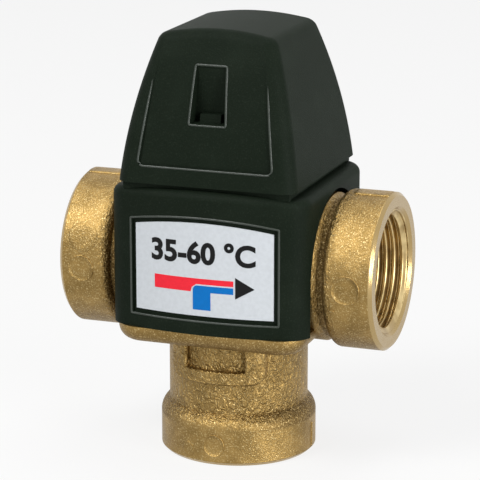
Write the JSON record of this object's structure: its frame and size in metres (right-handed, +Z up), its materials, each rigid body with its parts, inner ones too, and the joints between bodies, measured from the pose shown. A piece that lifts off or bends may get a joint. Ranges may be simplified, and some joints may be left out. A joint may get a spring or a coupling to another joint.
{
  "type": "thermostatic mixing valve",
  "caption": "Compact three-way thermostatic mixing valve: forged brass body with three female ports, plastic cover with a flow-diagram label, push-on cap over the setting knob.",
  "frame": {"origin": "middle of the bottom port's end face, on which the valve stands", "axes": "+X towards the mixed-water outlet, -X towards the hot inlet, -Y the labelled front, +Z up along the cold inlet, element and spindle axis"},
  "size_m": [0.07, 0.046, 0.094],
  "materials": {
    "forged_brass": "shot-blasted forging with machined port faces",
    "turned_brass": "turned",
    "copper": "drawn copper cup",
    "dark_plastic": "fine spark-eroded grain, satin",
    "label_film": "printed polyester film, satin",
    "knob_plastic": "moulded, satin",
    "inner_plastic": "natural engineering plastic",
    "rubber": "moulded elastomer",
    "spring_steel": "drawn stainless wire and stampings"
  },
  "bodies": {
    "valve": {"valve_body": "forged_brass", "cover": "dark_plastic", "label": "label_film", "bonnet": "turned_brass", "bonnet_o_ring": "rubber", "cold_seat_ring": "rubber", "hot_seat_ring": "rubber", "flow_insert": "inner_plastic", "thrust_washer": "inner_plastic", "return_spring": "spring_steel"},
    "cap": {"cap": "dark_plastic"},
    "knob": {"knob": "knob_plastic", "knob_screw": "spring_steel", "spindle": "turned_brass", "spindle_clip": "spring_steel", "spindle_o_ring": "rubber"},
    "nut": {"pressure_nut": "turned_brass", "cup_ring": "spring_steel", "spring_cup": "turned_brass", "overload_spring": "spring_steel", "piston_pin": "spring_steel"},
    "element": {"element_guide": "turned_brass", "element_capsule": "copper", "spool": "inner_plastic", "spool_clip": "spring_steel", "spool_o_ring": "rubber"}
  },
  "joints": [
    {"name": "cap_lift", "type": "slide", "parent": "valve", "child": "cap", "axis": [0, 0, 1], "range_m": [0, 0.04]},
    {"name": "knob_turn", "type": "hinge", "parent": "valve", "child": "knob", "pos_m": [0, 0, 0.075], "axis": [0, 0, 1], "range_deg": [-150, 150]},
    {"name": "nut_travel", "type": "slide", "parent": "valve", "child": "nut", "axis": [0, 0, 1], "range_m": [-0.00083, 0.00083]},
    {"name": "element_stroke", "type": "slide", "parent": "nut", "child": "element", "axis": [0, 0, -1], "range_m": [-0.0004, 0.0008], "stiffness_N_per_m": 5000, "deforming": ["return_spring"]}
  ],
  "couplings": [
    {"joint": "knob_turn", "follows": "nut_travel", "rad_per_m": -3141.6}
  ]
}
